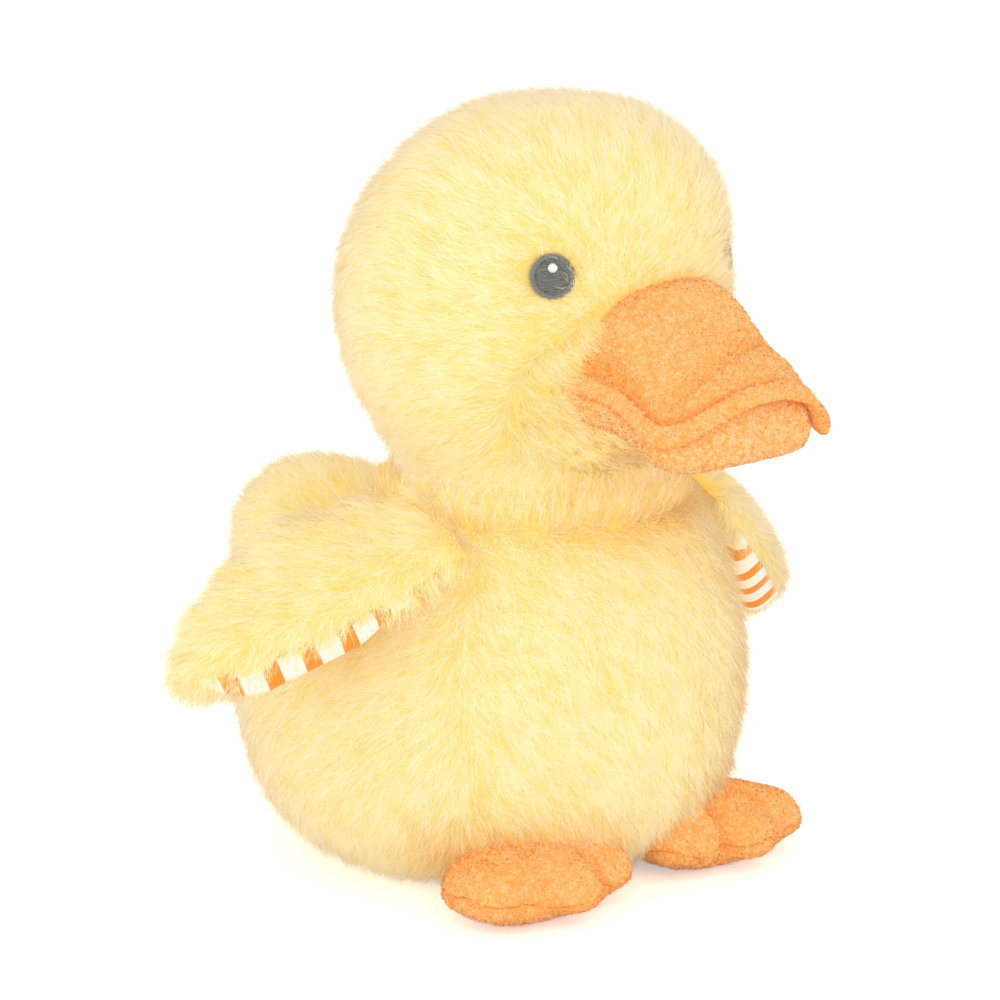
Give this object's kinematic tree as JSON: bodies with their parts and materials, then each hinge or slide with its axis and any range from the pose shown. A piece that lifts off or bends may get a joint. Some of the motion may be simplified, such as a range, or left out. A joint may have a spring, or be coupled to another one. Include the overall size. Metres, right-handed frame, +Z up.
{
  "type": "plush duckling",
  "caption": "Sitting plush duckling in pale yellow long-pile fur with an orange terry bill and feet, stitched eyes and fur wings lined with striped cotton.",
  "frame": {"origin": "middle of the flat face that the body sits on", "axes": "+Z up, -Y the way the duck faces, +X the duck's own left"},
  "size_m": [0.2414, 0.2187, 0.2335],
  "materials": {
    "long_pile_fur": "pale yellow knitted backing with soft long polyester pile, matt",
    "terry": "soft orange, short curly terry pile, matt",
    "striped_cotton": "smooth woven cotton with orange and white stripes",
    "embroidery_grey": "slate grey satin stitch with a slight sheen",
    "embroidery_white": "white satin stitch with a slight sheen",
    "filling": "white polyester fibre filling",
    "bean_pouch": "unbleached cotton pouch of plastic pellets"
  },
  "bodies": {
    "body": {"body_cover": "long_pile_fur", "body_filling": "filling", "bean_bag": "bean_pouch", "tail": "long_pile_fur"},
    "head": {"head_cover": "long_pile_fur", "head_filling": "filling", "bill_upper": "terry", "bill_lower": "terry", "eye_right": "embroidery_grey", "eye_glint_right": "embroidery_white", "eye_left": "embroidery_grey", "eye_glint_left": "embroidery_white"},
    "wing_right": {"wing_right_fur": "long_pile_fur", "wing_right_lining": "striped_cotton"},
    "wing_left": {"wing_left_fur": "long_pile_fur", "wing_left_lining": "striped_cotton"},
    "foot_right": {"foot_right_upper": "terry", "foot_right_sole": "terry"},
    "foot_left": {"foot_left_upper": "terry", "foot_left_sole": "terry"}
  },
  "joints": [
    {"name": "head_nod", "type": "hinge", "parent": "body", "child": "head", "pos_m": [0, -0.0145, 0.172], "axis": [1, 0, 0], "range_deg": [-12, 12], "stiffness_Nm_per_rad": 0.25},
    {"name": "wing_right_flap", "type": "hinge", "parent": "body", "child": "wing_right", "pos_m": [-0.05373, -0.02877, 0.109], "axis": [0.2904, 0.8691, 0.4005], "range_deg": [0, 35], "stiffness_Nm_per_rad": 0.03},
    {"name": "wing_left_flap", "type": "hinge", "parent": "body", "child": "wing_left", "pos_m": [0.05373, -0.02877, 0.109], "axis": [0.0554, -0.8731, -0.4844], "range_deg": [0, 35], "stiffness_Nm_per_rad": 0.03},
    {"name": "foot_right_flex", "type": "hinge", "parent": "body", "child": "foot_right", "pos_m": [-0.0368, -0.038, 0.006], "axis": [1, 0, 0], "range_deg": [-6, 16], "stiffness_Nm_per_rad": 0.03},
    {"name": "foot_left_flex", "type": "hinge", "parent": "body", "child": "foot_left", "pos_m": [0.0368, -0.038, 0.006], "axis": [1, 0, 0], "range_deg": [-6, 16], "stiffness_Nm_per_rad": 0.03}
  ]
}
